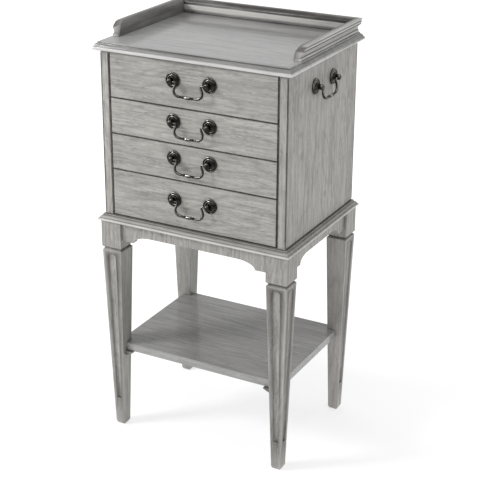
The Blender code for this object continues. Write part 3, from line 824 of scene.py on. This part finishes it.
def post_mesh():
    """A rosette and domed post turned about -Y, from the face out."""
    points = []
    worn = []
    for radius, out, wear in POST_PROFILE:
        for i in range(POST_SEGMENTS):
            angle = 2.0 * math.pi * i / POST_SEGMENTS
            points.append((radius * math.cos(angle), -out, radius * math.sin(angle)))
            worn.append(wear)
    faces = [tuple(range(POST_SEGMENTS))]
    for level in range(len(POST_PROFILE) - 1):
        base = level * POST_SEGMENTS
        for i in range(POST_SEGMENTS):
            j = (i + 1) % POST_SEGMENTS
            faces.append((base + i, base + j, base + POST_SEGMENTS + j, base + POST_SEGMENTS + i))
    last = len(points) - POST_SEGMENTS
    faces.append(tuple(range(last, len(points))))
    return wear_and_highlight_facing_light(mesh_from(points, faces, worn=worn))


def smooth_path(knots, splits):
    """Catmull-Rom points through rows of numbers."""
    rows = []
    for i in range(len(knots) - 1):
        before = knots[max(i - 1, 0)]
        start = knots[i]
        stop = knots[i + 1]
        after = knots[min(i + 2, len(knots) - 1)]
        for step in range(splits):
            t = step / splits
            rows.append(tuple(
                0.5 * (2.0 * b + (c - a) * t + (2.0 * a - 5.0 * b + 4.0 * c - d) * t ** 2
                       + (3.0 * b - a - 3.0 * c + d) * t ** 3)
                for a, b, c, d in zip(before, start, stop, after)
            ))
    rows.append(tuple(knots[-1]))
    return rows


def bail_mesh():
    """A swan-neck bail about its pivot line, hanging in -Z."""
    left = [(-row[0], *row[1:]) for row in reversed(BAIL_HALF[1:])]
    path = smooth_path(left + list(BAIL_HALF), BAIL_SPLITS)
    centres = [Vector((x, -out, z)) for x, out, z, _, _ in path]
    rings = []
    worn = []
    for i, centre in enumerate(centres):
        ahead = centres[min(i + 1, len(centres) - 1)]
        behind = centres[max(i - 1, 0)]
        along = (ahead - behind).normalized()
        across = along.cross(Vector((0.0, 1.0, 0.0))).normalized()
        lift = across.cross(along)
        ring = []
        for step in range(BAIL_SEGMENTS):
            angle = 2.0 * math.pi * step / BAIL_SEGMENTS
            spoke = across * math.cos(angle) + lift * math.sin(angle)
            ring.append(centre + spoke * path[i][3])
        rings.append(ring)
        worn.append(max(0.0, min(1.0, path[i][4])))
    return wear_and_highlight_facing_light(stack(rings, worn=worn))


def handles():
    """Posts and bails on the four fronts and both sides."""
    posts = post_mesh()
    bail = bail_mesh()
    spots = [(name, 0.0) for name in DRAWERS]
    spots += [(f"side_handle_{side}", sign * math.pi / 2.0) for side, sign in SIDES]
    for name, turn in spots:
        turned = Matrix.Rotation(turn, 4, "Z")
        out = turned @ Vector((0.0, -1.0, 0.0))
        for side, _ in SIDES:
            node = f"{name}_post_{side}"
            low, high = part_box(node)
            centre = (low + high) / 2.0
            reach = (high - low).dot(Vector([abs(c) for c in out])) / 2.0
            mesh = placed(posts, Matrix.Translation(centre - out * reach) @ turned)
            add(f"{node}_turned", mesh, BRASS, body_of(node), [node], BRASS_CREASE)
        node = f"{name}_bail"
        low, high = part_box(f"{name}_post_left")
        other_low, other_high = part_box(f"{name}_post_right")
        centre = (low + high + other_low + other_high) / 4.0
        reach = (high - low).dot(Vector([abs(c) for c in out])) / 2.0
        pivot = centre + out * (PIVOT_STANDOFF - reach)
        mesh = placed(bail, Matrix.Translation(pivot) @ turned)
        add(f"{node}_cast", mesh, BRASS, body_of(node), [node], BRASS_CREASE)


# -------------------------------------------------------------------- stage

AZIMUTH = 28.87
ELEVATION = 21.82
DISTANCE = 2.8297
TARGET = Vector((-0.0134, 0.0039, 0.4834))
LENS = 92.85
SHIFT = (0.05, -0.06)
SENSOR = 36.0
FLOOR_HALF = 30.0
# distance from the middle and emission, near and far
FLOOR_GLOW = (0.3, 1.5, 0.63, 0.80)
WORLD_STRENGTH = 0.56


def camera():
    """The photo's viewing angle."""
    data = bpy.data.cameras.new("camera")
    data.lens = LENS
    data.sensor_width = SENSOR
    data.shift_x, data.shift_y = SHIFT
    obj = bpy.data.objects.new("camera", data)
    bpy.context.scene.collection.objects.link(obj)
    a = math.radians(AZIMUTH)
    e = math.radians(ELEVATION)
    back = Vector((math.sin(a) * math.cos(e), -math.cos(a) * math.cos(e), math.sin(e)))
    obj.location = TARGET + back * DISTANCE
    obj.rotation_mode = "QUATERNION"
    obj.rotation_quaternion = (-back).to_track_quat("-Z", "Y")
    bpy.context.scene.camera = obj


def area_light(name, place, aim, size, power):
    """A soft square light aimed at a point."""
    data = bpy.data.lights.new(name, "AREA")
    data.size = size
    data.energy = power
    obj = bpy.data.objects.new(name, data)
    bpy.context.scene.collection.objects.link(obj)
    obj.location = place
    obj.rotation_mode = "QUATERNION"
    obj.rotation_quaternion = (Vector(aim) - Vector(place)).to_track_quat("-Z", "Y")


def floor():
    """A pale seamless floor that glows as painted light, dimmer near the middle."""
    corners = rectangle(-FLOOR_HALF, FLOOR_HALF, -FLOOR_HALF, FLOOR_HALF, 0.0)
    mesh = mesh_from(corners, [(0, 1, 2, 3)])
    if mesh.polygons[0].normal.z < 0.0:
        mesh.flip_normals()
    tree = Tree("studio_floor")
    coords = tree.node("ShaderNodeTexCoord").outputs["Object"]
    mottle = tree.noise(coords, 3.0, 3.0)
    colour = tree.mix(mottle, (0.50, 0.50, 0.51, 1.0), (0.52, 0.52, 0.53, 1.0))
    tree.put(tree.shader.inputs["Base Color"], colour)
    tree.shader.inputs["Roughness"].default_value = 0.6
    tree.shader.inputs["Emission Color"].default_value = (1.0, 1.0, 1.0, 1.0)
    away = tree.node("ShaderNodeVectorMath", {0: coords}, operation="LENGTH").outputs["Value"]
    tree.put(tree.shader.inputs["Emission Strength"], tree.ramp(away, *FLOOR_GLOW))
    mesh.materials.append(tree.material)
    obj = bpy.data.objects.new("studio_floor", mesh)
    bpy.context.scene.collection.objects.link(obj)


def studio():
    """Pale surround, a large key from the front left and a top light."""
    bpy.context.scene.view_settings.view_transform = "Standard"
    world = bpy.data.worlds.new("studio")
    bpy.context.scene.world = world
    world.use_nodes = True
    background = world.node_tree.nodes["Background"]
    background.inputs["Color"].default_value = (1.0, 1.0, 1.0, 1.0)
    background.inputs["Strength"].default_value = WORLD_STRENGTH
    area_light("key", (-2.3, -2.0, 2.3), (0.0, 0.0, 0.6), 0.8, 62.0)
    area_light("top", (0.0, 0.2, 3.0), (0.0, 0.0, 0.5), 1.6, 13.0)
    floor()


legs()
stand()
case()
gallery()
drawers()
handles()
studio()
camera()
